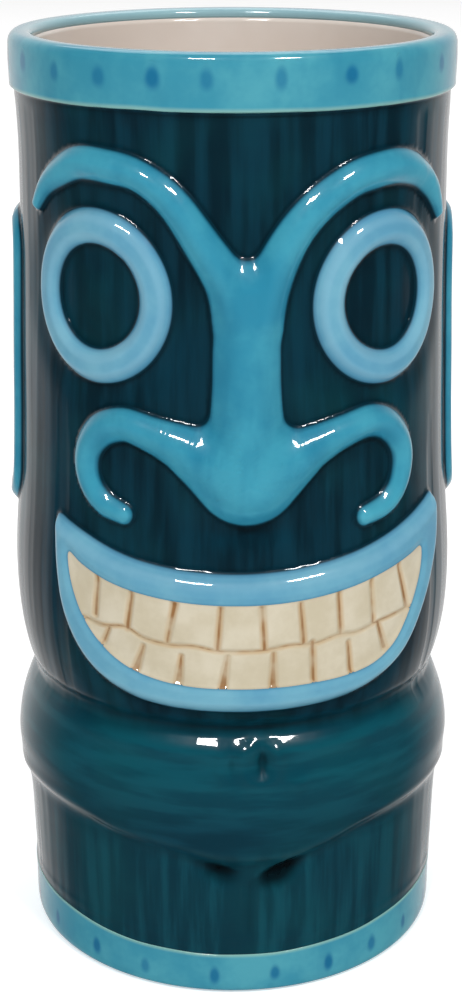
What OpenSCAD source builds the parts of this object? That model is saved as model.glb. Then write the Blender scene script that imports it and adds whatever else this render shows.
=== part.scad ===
// Tiki mug: a tall slip-cast cup with a carved face, a bulging belly and a pair of legs.
// The base rests on z = 0, the cup's axis is Z and the face looks along -Y.
// Left and right are as seen by a person who looks at the face: left is -X.

/* [Body] */
// Height from the base to the lip
body_h = 165; // [150:1:180]
// Outer radius of the forehead
brow_r = 36.8; // [36:0.1:37.5]
// Outer radius of the cheeks
cheek_r = 39.6; // [38.5:0.1:41]
// Outer radius at the crease of the neck
neck_r = 37.1; // [36.5:0.1:37.5]
// Outer radius of the belly
belly_r = 40.4; // [39.5:0.1:42]
// Outer radius of the legs
leg_r = 38.4; // [37.8:0.1:39]
// Radius of the inside, measured to the glaze
cup_r = 33.6; // [32:0.1:34]
// Thickness of the floor, without its glaze
floor_t = 6; // [4:0.5:10]
// Radius of the corner between the inside wall and the floor
floor_fillet = 4; // [2:0.5:8]

/* [Glaze bands] */
// Height of the band around the lip
rim_band_h = 9; // [7:0.5:11]
// Height of the top edge of the band around the base
base_band_top = 8.4; // [6:0.2:10]
// Thickness of both bands
band_t = 0.8; // [0.6:0.1:1]
// Thickness of the glaze that lines the inside
liner_t = 0.4; // [0.3:0.1:0.8]
// Spots around the rim band
rim_spot_count = 23; // [12:1:26]
// Spots around the base band
base_spot_count = 22; // [12:1:26]

/* [Eyes and brows] */
// Angle between the middle of the face and the middle of each eye
eye_angle = 38.5; // [38:0.5:42]
// Height of the middle of the eyes
eye_z = 125.6; // [124:0.2:127]
// Outer radius of an eye ring
eye_ring_r = 14.1; // [13:0.1:14.4]
// Radius of the opening of an eye ring
eye_hole_r = 8.7; // [7:0.1:10]
// How far the eye rings stand proud
eye_relief = 1.6; // [1:0.1:2.5]
// How far the brows stand proud
brow_relief = 2.4; // [1.5:0.1:3.5]

/* [Nose] */
// How far the bridge stands proud
bridge_relief = 3; // [2:0.1:4]
// How far the tip stands proud
tip_relief = 5; // [4:0.1:6]
// Radius of the ball of the tip
tip_r = 10; // [9:0.5:11]
// Height of the middle of the tip
tip_z = 98; // [96:0.5:100]
// How far the nostril scrolls stand proud
scroll_relief = 2; // [1:0.1:3]

/* [Mouth] */
// How far the lips stand proud
lip_relief = 2; // [1.5:0.1:3]
// How far the teeth stand proud
tooth_relief = 1.2; // [0.8:0.1:1.4]
// How far the painted lines between the teeth stand proud
line_relief = 0.6; // [0.4:0.1:0.7]
// Angle from one tooth to the next
tooth_pitch = 10.3; // [9.8:0.1:10.8]
// Width of the line between two teeth
tooth_gap = 0.7; // [0.5:0.1:1]
// Height of the bite line at the middle of the mouth
bite_z = 68.2; // [67:0.1:69.5]

/* [Ears] */
// How far the ears stand proud
ear_relief = 1.2; // [0.8:0.1:2]
// Width of an ear from front to back
ear_w = 16; // [12:0.5:18]
// Width of the raised edge of an ear
ear_edge = 4; // [3:0.5:5]
// Height of the bottom of an ear
ear_bottom = 82; // [80:1:84]
// Height of the top of an ear
ear_top = 136; // [132:1:138]

/* [Hidden] */

$fn = 120;
foot_round = 1.2;                         // the edge that rolls under the base
lip_z = body_h - band_t;                  // top of the bare wall, under the band
band_in_r = brow_r + 0.2;                 // wall radius behind the rim band
band_out_r = band_in_r + band_t;
base_in_r = leg_r - 1.1;                  // wall radius behind the base band
shell_r = cup_r + liner_t;                // inside radius of the bare wall
spot_t = 0.25;
rim_spot_z = body_h - 4.1;
base_spot_z = 4.1;
navel = [2.5, 46];                        // middle of the navel, as [x, height]
navel_wall_r = belly_r - 2;               // wall radius around it
far = 60;                                 // longer than any radius
nose_wall_r = cheek_r - 1.1;              // wall radius behind the tip of the nose

// Outline of the wall above the base band, as [radius, height] from the legs to the lip.
wall_stations = [
    [leg_r - 0.4, base_band_top + 0.8], [leg_r, 15], [leg_r + 0.2, 24], [belly_r - 1, 29.5],
    [belly_r - 0.1, 34.5], [belly_r - 0.4, 41], [belly_r - 2.3, 46.8], [neck_r, 50.2],
    [cheek_r - 1.3, 56.2], [cheek_r - 0.3, 62.4], [cheek_r, 70], [cheek_r - 0.6, 80],
    [cheek_r - 1.3, 92], [brow_r + 0.9, 110], [brow_r, 137], [brow_r + 0.1, 152],
    [band_in_r, body_h - rim_band_h]
];

// A smooth curve through the points of p, with n steps from each point to the next.
function spline(p, n = 4) = concat(
    [for (i = [0:len(p) - 2], k = [0:n - 1])
        let (t = k / n, a = p[max(i - 1, 0)], b = p[i], c = p[i + 1], d = p[min(i + 2, len(p) - 1)])
        0.5 * (2 * b + (c - a) * t + (2 * a - 5 * b + 4 * c - d) * t * t
            + (3 * b - a - 3 * c + d) * t * t * t)],
    [p[len(p) - 1]]
);

function backwards(p) = [for (i = [len(p) - 1:-1:0]) p[i]];

// The part of the wall's outline between two heights, moved out by grow.
function wall_line(z0, z1, grow) = [for (p = wall_curve) if (p[1] > z0 && p[1] < z1) [p[0] + grow, p[1]]];

wall_curve = spline(wall_stations, 3);

// A ring of the given thickness that lies on the wall between two heights.
module wall_ring(z0, z1, thick) {
    rotate_extrude()
        polygon(concat(wall_line(z0, z1, 0), backwards(wall_line(z0, z1, thick))));
}

// Presses a front-view outline onto the wall as a relief. turn faces the outline round the axis.
module on_wall(z0, z1, thick, turn = 0) {
    intersection() {
        wall_ring(z0, z1, thick);
        rotate([0, 0, turn])
            rotate([90, 0, 0])
                linear_extrude(far)
                    children();
    }
}

// A brush stroke along a curve through points [x, z, half width], with round ends.
module stroke(points) {
    c = spline(points, 3);
    last = len(c) - 1;
    ahead = [for (i = [0:last])
        let (d = c[min(i + 1, last)] - c[max(i - 1, 0)])
        [d[0], d[1]] / norm([d[0], d[1]])];
    polygon(concat(
        [for (i = [0:last]) beside(c[i], ahead[i], 90)],
        [for (a = [60:-30:-60]) beside(c[last], ahead[last], a)],
        [for (i = [last:-1:0]) beside(c[i], ahead[i], -90)],
        [for (a = [-120:-30:-240]) beside(c[0], ahead[0], a)]
    ));
}

// The point on the edge of a stroke, at an angle to its direction ahead.
function beside(p, ahead, angle) =
    [p[0], p[1]] + p[2] * (ahead * cos(angle) + [-ahead[1], ahead[0]] * sin(angle));

// A closed outline that is the same on both sides of the middle line. right lists its right half.
module mirrored_outline(right) {
    half = spline(right, 4);
    polygon(concat(half, [for (p = backwards(half)) if (p[0] > 0.01) [-p[0], p[1]]]));
}

module body_shell() {
    foot_r = base_in_r - foot_round;
    outline = concat(
        [[0, 0], [foot_r, 0]],
        [for (a = [30:30:90]) [foot_r + foot_round * sin(a), foot_round * (1 - cos(a))]],
        [[base_in_r, base_band_top]],
        wall_curve,
        [[band_in_r, lip_z - 1.2], [band_in_r - 1, lip_z], [shell_r + 0.6, lip_z], [shell_r, lip_z - 0.6]],
        [for (a = [0:-15:-90])
            [shell_r - floor_fillet * (1 - cos(a)), floor_t + floor_fillet * (1 + sin(a))]],
        [[0, floor_t]]
    );
    color("#0d4a58")
        difference() {
            rotate_extrude()
                polygon(outline);
            navel_hollow();
            leg_cleft();
        }
}

// The hollow in the middle of the belly, cut by a ball.
module navel_hollow() {
    ball_r = 3.2;
    depth = 1.4;
    translate([navel[0], depth - ball_r - navel_wall_r, navel[1]])
        sphere(ball_r, $fn = 48);
}

// The slot between the legs, under the belly's point.
module leg_cleft() {
    slot_w = 1.4;
    slot_depth = 0.9;
    slot_bottom = base_band_top + 1.6;
    slot_top = 24;
    corner_ball_r = 2.4;
    corner_depth = 1.2;
    translate([-slot_w / 2, -far, slot_bottom])
        cube([slot_w, far - leg_r + slot_depth, slot_top - slot_bottom]);
    for (side = [-1, 1])
        translate([side * 4.2, corner_depth - corner_ball_r - leg_r, slot_top + 0.5])
            sphere(corner_ball_r, $fn = 48);
}

module interior_glaze() {
    inner_fillet = floor_fillet - liner_t;
    outer = concat(
        [[shell_r, lip_z - 0.6]],
        [for (a = [0:-15:-90])
            [shell_r - floor_fillet * (1 - cos(a)), floor_t + floor_fillet * (1 + sin(a))]],
        [[0, floor_t]]
    );
    inner = concat(
        [[0, floor_t + liner_t]],
        [for (a = [-90:15:0])
            [shell_r - floor_fillet + inner_fillet * cos(a), floor_t + floor_fillet + inner_fillet * sin(a)]],
        [[cup_r, lip_z - 0.6]]
    );
    color("#e6dace")
        rotate_extrude()
            polygon(concat(outer, inner));
}

module rim_band() {
    edge_z = body_h - rim_band_h + 0.1;
    outline = [
        [band_in_r, edge_z], [band_out_r - 0.3, edge_z], [band_out_r, edge_z + 1.1],
        [band_out_r, body_h - 2.4], [band_out_r - 0.35, body_h - 1.2], [band_out_r - 1.2, body_h - 0.25],
        [band_out_r - 2, body_h], [shell_r + 0.8, body_h], [shell_r - 0.1, body_h - 0.4],
        [cup_r, lip_z - 0.6], [shell_r, lip_z - 0.6], [shell_r + 0.6, lip_z],
        [band_in_r - 1, lip_z], [band_in_r, lip_z - 1.2]
    ];
    color("#49a9c4")
        rotate_extrude()
            polygon(outline);
}

// A ring of drop-shaped glaze spots on the upright face of a band.
module spot_ring(count, face_r, z, drop_h, first_angle) {
    for (i = [0:count - 1])
        rotate([0, 0, first_angle + i * 360 / count])
            difference() {
                intersection() {
                    translate([0, 0, z - drop_h])
                        cylinder(2 * drop_h, r = face_r + spot_t);
                    translate([0, 0, z])
                        rotate([90, 0, 0])
                            linear_extrude(far)
                                spot_outline(drop_h);
                }
                translate([0, 0, z - drop_h - 1])
                    cylinder(2 * drop_h + 2, r = face_r);
            }
}

// A drop that is 2.4 mm wide near its bottom and narrows upwards.
module spot_outline(drop_h) {
    polygon([for (a = [0:20:340]) [1.2 * cos(a) * (1 - 0.35 * sin(a)), drop_h / 2 * sin(a)]]);
}

module rim_spots() {
    color("#2384a8")
        spot_ring(rim_spot_count, band_out_r, rim_spot_z, 3, -9.4);
}

module base_band() {
    face_r = base_in_r + band_t;
    color("#5ab6cd")
        rotate_extrude()
            polygon([[base_in_r, base_band_top], [base_in_r, foot_round], [face_r - 0.4, foot_round],
                [face_r, 2.2], [face_r, base_band_top]]);
}

module base_spots() {
    color("#2384a8")
        spot_ring(base_spot_count, base_in_r + band_t, base_spot_z, 3, 8);
}

// The bridge from between the brows to the tip, in front view.
module nose_outline() {
    stroke([[0, 135, 2.6], [0, 128, 4.2], [0, 118, 5.2], [0, 108, 5.6], [0, 100, 9], [0, tip_z - 1, 9.4]]);
}

// The ball of the tip, sunk into the wall so that only tip_relief of it stands proud.
module nose_ball() {
    translate([0, tip_r - tip_relief - nose_wall_r, tip_z])
        sphere(tip_r, $fn = 64);
}

// The solid inside of the wall between two heights, which trims what must stay outside it.
module wall_core(z0, z1) {
    line = wall_line(z0, z1, 0);
    rotate_extrude()
        polygon(concat([[0, line[0][1]]], line, [[0, line[len(line) - 1][1]]]));
}

module nose() {
    color("#3f9fbd")
        difference() {
            union() {
                on_wall(84, 140, bridge_relief)
                    nose_outline();
                nose_ball();
            }
            wall_core(80, 145);
        }
}

// One brow as seen from the front. side is -1 for the left one and 1 for the right one.
module brow(side) {
    color("#3f9fbd")
        on_wall(112, 152, brow_relief)
            difference() {
                stroke([[side * 4, 130, 3], [side * 8, 138, 3.2], [side * 13.5, 144.4, 3.2],
                    [side * 20.5, 147.2, 3.1], [side * 26.5, 146, 2.8], [side * 31, 142.4, 2.2],
                    [side * 33.4, 138.6, 1.4]]);
                nose_outline();
            }
}

module brow_left() {
    brow(-1);
}

module brow_right() {
    brow(1);
}

module eye_ring(side) {
    color("#7db3d6")
        on_wall(105, 145, eye_relief, side * eye_angle)
            translate([0, eye_z])
                difference() {
                    circle(eye_ring_r, $fn = 96);
                    circle(eye_hole_r, $fn = 96);
                }
}

module eye_ring_left() {
    eye_ring(-1);
}

module eye_ring_right() {
    eye_ring(1);
}

// A nostril: a scroll that leaves the nose, arches out and curls back under itself.
module nostril(side) {
    color("#3f9fbd")
        on_wall(80, 112, scroll_relief)
            difference() {
                stroke([[side * 8, 101, 3.4], [side * 13, 104, 3.2], [side * 18.5, 105, 2.8],
                    [side * 23.6, 103.4, 2.7], [side * 26.6, 99.2, 2.6], [side * 26, 94.6, 2.4],
                    [side * 22.6, 91.4, 2.1], [side * 18.6, 90.4, 1.5]]);
                nose_outline();
            }
}

module nostril_left() {
    nostril(-1);
}

module nostril_right() {
    nostril(1);
}

module lips_outline() {
    mirrored_outline([[0, 81], [10, 81.6], [21, 83.9], [30.4, 87.4], [32.2, 85.6], [31.5, 76],
        [28.8, 66.6], [24, 60], [16, 57], [0, 56.2]]);
}

module mouth_outline() {
    mirrored_outline([[0, 75.7], [12, 76.3], [22, 78.2], [29.6, 81], [29, 75.5], [26.2, 68],
        [21, 63.2], [12, 61.4], [0, 61]]);
}

// The half of the mouth above or below the bite line, which curves up towards the cheeks.
module jaw_half(upper) {
    half_w = 34;
    edge = upper ? tooth_gap / 2 : -tooth_gap / 2;
    reach = upper ? 90 : 50;
    polygon(concat(
        [for (x = [-half_w:4:half_w]) [x, bite_z + edge + 0.0042 * x * x]],
        [[half_w, reach], [-half_w, reach]]
    ));
}

// Thin upright walls through the gaps between the teeth.
module tooth_gaps(count, first_angle, z0, z1) {
    for (i = [0:count - 1])
        rotate([0, 0, first_angle + i * tooth_pitch])
            translate([-tooth_gap / 2, -far, z0])
                cube([tooth_gap, far, z1 - z0]);
}

module upper_gaps() {
    tooth_gaps(9, -39, bite_z - 4, 84);
}

module lower_gaps() {
    tooth_gaps(8, -36, 58, bite_z + 6);
}

module teeth_row(upper) {
    on_wall(56, 84, tooth_relief)
        intersection() {
            mouth_outline();
            jaw_half(upper);
        }
}

module lips() {
    color("#86b9da")
        on_wall(52, 92, lip_relief)
            difference() {
                lips_outline();
                mouth_outline();
            }
}

module upper_teeth() {
    color("#e4d8b8")
        difference() {
            teeth_row(true);
            upper_gaps();
        }
}

module lower_teeth() {
    color("#e4d8b8")
        difference() {
            teeth_row(false);
            lower_gaps();
        }
}

// What is left of the mouth between the teeth, at a lower level.
module tooth_lines() {
    color("#a57c4f") {
        on_wall(56, 84, line_relief)
            difference() {
                mouth_outline();
                jaw_half(true);
                jaw_half(false);
            }
        intersection() {
            upper_gaps();
            on_wall(56, 84, line_relief)
                intersection() {
                    mouth_outline();
                    jaw_half(true);
                }
        }
        intersection() {
            lower_gaps();
            on_wall(56, 84, line_relief)
                intersection() {
                    mouth_outline();
                    jaw_half(false);
                }
        }
    }
}

// An ear is a long loop on the side of the head, seen here from that side.
module ear_outline(inset) {
    end_r = ear_w / 2 - inset;
    for (z = [ear_bottom + ear_w / 2, ear_top - ear_w / 2])
        translate([0, z])
            circle(end_r, $fn = 64);
    translate([-end_r, ear_bottom + ear_w / 2])
        square([2 * end_r, ear_top - ear_bottom - ear_w]);
}

module ear(side) {
    color("#3f9fbd")
        on_wall(78, 140, ear_relief, side * 90)
            difference() {
                ear_outline(0);
                ear_outline(ear_edge);
            }
}

module ear_left() {
    ear(-1);
}

module ear_right() {
    ear(1);
}

body_shell();
interior_glaze();
rim_band();
rim_spots();
base_band();
base_spots();
brow_left();
brow_right();
eye_ring_left();
eye_ring_right();
nose();
nostril_left();
nostril_right();
lips();
upper_teeth();
lower_teeth();
tooth_lines();
ear_left();
ear_right();
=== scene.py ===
"""A glazed tiki mug: its cast body, relief and glaze areas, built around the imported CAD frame.

The outside of the mug is one surface: a radius, in millimetres, for each angle and height. The angle is
counted from the middle of the face, positive to the right of a person who looks at it. Outlines are drawn on
that surface unrolled flat, as (angle in degrees, height in millimetres). Each relief piece is the part of the
surface inside its outline and its soft foot, thickened inwards.
"""
import math

import bpy
import numpy as np
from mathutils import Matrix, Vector


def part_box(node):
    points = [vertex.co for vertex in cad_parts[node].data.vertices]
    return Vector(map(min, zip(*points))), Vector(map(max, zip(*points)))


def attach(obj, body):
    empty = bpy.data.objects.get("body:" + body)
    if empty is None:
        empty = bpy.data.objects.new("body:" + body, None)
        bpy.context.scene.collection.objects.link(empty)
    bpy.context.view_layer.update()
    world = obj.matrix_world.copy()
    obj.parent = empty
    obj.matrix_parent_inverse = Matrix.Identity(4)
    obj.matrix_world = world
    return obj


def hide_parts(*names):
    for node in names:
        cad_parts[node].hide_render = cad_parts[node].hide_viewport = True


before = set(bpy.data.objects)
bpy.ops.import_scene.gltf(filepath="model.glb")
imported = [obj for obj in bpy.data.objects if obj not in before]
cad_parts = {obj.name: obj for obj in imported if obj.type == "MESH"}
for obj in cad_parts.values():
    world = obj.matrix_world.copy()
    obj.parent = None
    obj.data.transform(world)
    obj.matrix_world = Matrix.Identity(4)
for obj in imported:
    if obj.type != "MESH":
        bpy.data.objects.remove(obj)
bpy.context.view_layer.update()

MM = 0.001
ARC_R = 38.0            # radius at which lengths along the unrolled surface are measured
FAR = 30.0              # a distance that counts as far from any outline

body_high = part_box("body_shell")[1]
rim_low, rim_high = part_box("rim_band")
base_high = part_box("base_band")[1]
liner_low, liner_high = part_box("interior_glaze")
ear_low, ear_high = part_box("ear_right")

HEIGHT = rim_high.z / MM
BELLY_R = body_high.x / MM
RIM_R = rim_high.x / MM
BASE_R = base_high.x / MM
RIM_EDGE = rim_low.z / MM - 0.1
BASE_EDGE = base_high.z / MM
WALL_IN_R = liner_high.x / MM
FLOOR_Z = liner_low.z / MM
LINER = 0.4
LINER_FILLET = 4.0


# ---------------------------------------------------------------- curves and noise

def smooth_curve(points, steps=8, closed=False):
    """Points along a Catmull-Rom curve through the given points, which may hold any number of values."""
    p = np.array(points, float)
    n = len(p)
    spans = n if closed else n - 1
    t = (np.arange(steps) / steps)[:, None]
    out = []
    for i in range(spans):
        if closed:
            a, b, c, d = (p[(i + k) % n] for k in (-1, 0, 1, 2))
        else:
            a, b, c, d = p[max(i - 1, 0)], p[i], p[i + 1], p[min(i + 2, n - 1)]
        out.append(0.5 * (2 * b + (c - a) * t + (2 * a - 5 * b + 4 * c - d) * t ** 2
                          + (3 * b - a - 3 * c + d) * t ** 3))
    if not closed:
        out.append(p[-1:])
    return np.concatenate(out)


def smooth_step(x, low=0.0, high=1.0):
    t = np.clip((x - low) / (high - low), 0.0, 1.0)
    return t * t * (3 - 2 * t)


def smooth_min(a, b, reach):
    h = np.maximum(reach - np.abs(a - b), 0.0) / reach
    return np.minimum(a, b) - h * h * reach / 4


def bump(x, width):
    return np.exp(-(x / width) ** 2)


GRID = 256
LATTICE = np.random.default_rng(20261118).uniform(-1, 1, (8, GRID, GRID))


def noise(u, v, layer=0):
    """Smooth random values between -1 and 1, which repeat every 256 units."""
    iu, iv = np.floor(u), np.floor(v)
    fu, fv = u - iu, v - iv
    fu, fv = (f * f * f * (f * (6 * f - 15) + 10) for f in (fu, fv))
    iu, iv = iu.astype(int) % GRID, iv.astype(int) % GRID
    ju, jv = (iu + 1) % GRID, (iv + 1) % GRID
    grid = LATTICE[layer]
    low = grid[iu, iv] * (1 - fu) + grid[ju, iv] * fu
    high = grid[iu, jv] * (1 - fu) + grid[ju, jv] * fu
    return low * (1 - fv) + high * fv


def around(theta, cells):
    """An angle in noise cells, a whole number of them to the turn, so that the pattern closes at the back."""
    return theta / (2 * math.pi) * cells


# ---------------------------------------------------------------- outlines on the unrolled surface

def along(degrees):
    """An angle as a length along the unrolled surface."""
    return np.radians(degrees) * ARC_R


def unrolled(points):
    """Turns the angle, in degrees, of each point into a length along the surface."""
    p = np.array(points, float)
    p[:, 0] = along(p[:, 0])
    return p


def on_curve(x, curve):
    """Height of a curve, given as points from left to right, at each x."""
    return np.interp(x, curve[:, 0], curve[:, 1])


# Each point of a stroke is (angle, height, half width, how far it stands proud).
BROW_LEFT = [(-63, 138.9, 1.1, 1.2), (-58.3, 142.3, 1.7, 1.6), (-52.5, 144.8, 2.2, 1.9),
             (-45, 146.9, 2.5, 2.1), (-36.5, 147, 2.6, 2.2), (-27, 145.9, 2.5, 2.3),
             (-18.4, 142.2, 2.7, 2.4), (-10.5, 135.3, 3, 2.6), (-5.2, 130, 3.4, 2.8),
             (-2.1, 125, 3.6, 3)]
BROW_RIGHT = [(62.8, 136.8, 1.1, 1.2), (59.8, 139.4, 1.6, 1.6), (55.8, 142.2, 2.1, 1.9),
              (50, 144.7, 2.4, 2.1), (42.5, 146.1, 2.7, 2.2), (34.8, 146, 2.8, 2.2),
              (27, 144.9, 2.8, 2.2), (19.1, 142, 2.9, 2.3), (13.2, 138.4, 3, 2.4),
              (8.7, 134, 3.2, 2.6), (5.3, 129, 3.5, 2.8), (3, 123.5, 3.5, 3)]
BRIDGE = [(0, 128, 4.4, 2.9), (0, 120, 5.3, 3.1), (0, 112, 5.5, 3.3),
          (0, 105.5, 6.2, 3.8), (0, 99.4, 8.2, 4.7), (0.1, 97.5, 7.9, 5)]
SCROLL_LEFT = [(-2.5, 98.8, 6.4, 4.4), (-9.5, 100.4, 5.2, 3.5), (-16.5, 102.6, 3.8, 2.8),
               (-23.5, 104.2, 3, 2.4), (-31, 105.3, 2.7, 2.3), (-37.6, 103.9, 2.7, 2.2),
               (-41.7, 100.8, 2.6, 2.1), (-42.7, 97.2, 2.5, 2), (-41, 93.8, 2.3, 1.9),
               (-37, 91.3, 2.1, 1.8), (-31.4, 90.1, 1.7, 1.5)]
SCROLL_RIGHT = [(3, 98.8, 6.6, 4.4), (9.5, 100, 5.2, 3.5), (16.5, 102.2, 3.6, 2.8),
                (24.5, 104.1, 2.8, 2.4), (32.5, 105.1, 2.6, 2.3), (38.5, 103.9, 2.5, 2.2),
                (43, 100.7, 2.5, 2.1), (44.3, 97, 2.4, 2), (42.4, 92.8, 2.2, 1.9),
                (37.8, 90.1, 2, 1.8), (31.2, 89, 1.6, 1.5)]

EYES = {"left": (-39.9, 125.8), "right": (38.2, 125.2)}     # middle of each eye
EYE_OUT_R = 14.15
EYE_IN_R = 8.75
EYE_RELIEF = 1.5

LIPS_OUTER = [(-52.2, 87), (-48, 86.3), (-42.5, 85.2), (-33.5, 83.4), (-23.5, 82.1), (-12, 81.4),
              (0, 81.2), (12, 81.6), (24, 82.6), (35, 84), (46, 86), (54, 87.7),
              (58.4, 88.4), (59.9, 85.8), (58.8, 80.6), (55.4, 74.9), (50.8, 69), (46.5, 64.4),
              (41.5, 61), (33.5, 58.2), (24, 56.9), (12, 56.3), (0, 56.2), (-12, 56.3),
              (-24, 56.9), (-33.5, 58.6), (-40.5, 61.4), (-46, 65.6), (-50, 71), (-52.6, 77.5),
              (-53.8, 83.6), (-53.7, 86)]
MOUTH = [(-46.2, 81.8), (-42, 80.4), (-34, 78.5), (-23.5, 77.2), (-13, 76.6), (-3, 76.4),
         (7, 76.5), (17, 77), (27, 77.9), (37, 79.2), (44.5, 80.4), (48.8, 80.9),
         (48.2, 77), (45.6, 72.9), (42.3, 68.8), (38.6, 65.4), (33.2, 63), (26, 61.9),
         (17, 61.5), (7, 61.3), (-3, 61.3), (-13, 61.5), (-22, 62.3), (-29.6, 64),
         (-35.6, 66.7), (-40.6, 70.4), (-44.2, 74.9), (-46.2, 79.2)]
# The bite between the rows of teeth; the brown line along it is painted shade.
BITE_LINE = [(-52, 72.6), (-46.5, 71.6), (-40.5, 70.9), (-35.5, 70.4), (-29.5, 70.9), (-24.5, 69.4),
             (-18.5, 68.8), (-12.5, 68.9), (-7, 68.2), (-1.5, 68.1), (4, 68.2), (10, 68.8),
             (16, 68.6), (22, 69.5), (27, 69.3), (33, 70.1), (39.5, 70.6), (46, 71.2),
             (52, 72.6)]
# Each painted line between two teeth: angle and height of its upper end, then of its lower end, then the
# half widths there.
UPPER_LINES = [(-37, 79.6, -37.8, 72, 0.30, 0.36), (-27.6, 78.2, -29, 70.8, 0.26, 0.40),
               (-17, 76.4, -19, 69.2, 0.44, 0.26), (-6.2, 76, -7, 68.4, 0.28, 0.34),
               (3.4, 76, 4, 68.4, 0.32, 0.36), (12.6, 76.2, 13.4, 69, 0.26, 0.36),
               (22.2, 77.4, 22.8, 69.6, 0.30, 0.34), (31.3, 78.4, 32, 70.2, 0.22, 0.28),
               (40, 79.8, 43, 71.2, 0.24, 0.40)]
LOWER_LINES = [(-34, 70.2, -36, 66.8, 0.22, 0.30), (-25, 68, -27.2, 63.2, 0.20, 0.62),
               (-15.6, 67, -16.4, 62, 0.22, 0.60), (-4.6, 67.4, -5.8, 61.4, 0.20, 0.62),
               (6.2, 67.6, 6.2, 61.4, 0.24, 0.58), (15.6, 69, 16.2, 61.8, 0.34, 0.34),
               (25, 67.8, 26, 62.2, 0.24, 0.34), (33.6, 70, 36, 65, 0.28, 0.46)]
TOOTH_RELIEF = 1.35
LIP_RELIEF = 1.95

BITE_CURVE = smooth_curve(unrolled(BITE_LINE), 6)

SIDES = {"left": -1, "right": 1}
EAR_ANGLE = 90.0
EAR_TOP = ear_high.z / MM
EAR_BOTTOM = ear_low.z / MM
EAR_W = (ear_high.y - ear_low.y) / MM
EAR_EDGE = 4.2
EAR_RELIEF = 1.3


def segment_distance(s, z, a, b):
    """Distance to the stretch from a to b, and where the nearest point lies on it, from 0 to 1."""
    across, up = b[:2] - a[:2]
    t = np.clip(((s - a[0]) * across + (z - a[1]) * up) / (across ** 2 + up ** 2), 0.0, 1.0)
    return np.hypot(s - a[0] - t * across, z - a[1] - t * up), t


def stroke_distance(s, z, stroke):
    """Distance to a stroke's edge, negative inside, with the half width and relief of its nearest stretch."""
    samples = smooth_curve(unrolled(stroke), 6)
    best = np.full(s.shape, FAR)
    half = np.full(s.shape, samples[0, 2])
    relief = np.zeros(s.shape)
    for a, b in zip(samples[:-1], samples[1:]):
        away, t = segment_distance(s, z, a, b)
        width = a[2] + t * (b[2] - a[2])
        closer = away - width < best
        best = np.where(closer, away - width, best)
        half = np.where(closer, width, half)
        relief = np.where(closer, a[3] + t * (b[3] - a[3]), relief)
    return best, half, relief


def outline_distance(s, z, points):
    """Distance to a closed outline, negative inside."""
    line = smooth_curve(unrolled(points), 5, closed=True)
    best = np.full(s.shape, FAR)
    inside = np.zeros(s.shape, bool)
    for a, b in zip(line, np.roll(line, -1, axis=0)):
        best = np.minimum(best, segment_distance(s, z, a, b)[0])
        if a[1] != b[1]:
            inside ^= ((a[1] > z) != (b[1] > z)) & (s < a[0] + (z - a[1]) / (b[1] - a[1]) * (b[0] - a[0]))
    return np.where(inside, -best, best)


def within(theta, z, degrees, heights, distance, margin=4.0):
    """Runs distance(s, z) only on the points near a window, and calls all others far."""
    reach = math.degrees(margin / ARC_R)
    deg = np.degrees(theta)
    near = (deg > degrees[0] - reach) & (deg < degrees[1] + reach)
    near &= (z > heights[0] - margin) & (z < heights[1] + margin)
    out = np.full(theta.shape, FAR)
    if near.any():
        out[near] = distance(theta[near] * ARC_R, z[near])
    return out


def near_outline(theta, z, points):
    """Distance to a closed outline, negative inside, where the outline is near."""
    angles, heights = zip(*points)
    return within(theta, z, (min(angles), max(angles)), (min(heights), max(heights)),
                  lambda s, h: outline_distance(s, h, points))


def eye_distance(theta, z, side):
    """Distance to the edge of an eye ring, negative on the ring, and to the middle of the eye."""
    deg, height = EYES[side]
    rho = np.hypot(theta * ARC_R - along(deg), z - height)
    ring = np.abs(rho - (EYE_OUT_R + EYE_IN_R) / 2) - (EYE_OUT_R - EYE_IN_R) / 2
    return ring, rho


def ear_distances(theta, z, side):
    """Distance to the outer and the inner edge of an ear's loop. It leans back a little at its top."""
    across = theta * SIDES[side] * ARC_R - along(EAR_ANGLE)
    low, high = EAR_BOTTOM + EAR_W / 2, EAR_TOP - EAR_W / 2
    gap = np.maximum(np.maximum(low - z, z - high), 0.0)
    lean = 0.016 * (z - (low + high) / 2)
    outer = np.hypot(across - lean, gap) - EAR_W / 2 + 0.5
    return outer, outer + EAR_EDGE


def line_distance(s, z):
    """Distance to the painted lines between the teeth, and to the brown line along the bite that is painted
    shade there, negative on a line.
    """
    best = np.abs(z - on_curve(s, BITE_CURVE)) - 0.2
    for top, top_z, end, end_z, top_half, end_half in UPPER_LINES + LOWER_LINES:
        away, t = segment_distance(s, z, np.array([along(top), top_z]), np.array([along(end), end_z]))
        best = np.minimum(best, away - top_half - (end_half - top_half) * t)
    return best


# ---------------------------------------------------------------- the outer surface

# The wall's line, from the foot up: how far it lies outside BASE_R, and its height.
LOW_WALL = [(-1.5, 0.0), (-0.5, 0.5), (-0.1, 1.3), (0.0, 3.0), (0.0, BASE_EDGE - 1.0), (0.02, BASE_EDGE),
            (0.1, 11.5), (0.25, 15.0), (0.35, 19.0), (0.45, 23.5), (0.65, 26.6), (1.15, 29.2), (1.9, 31.2)]
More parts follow.
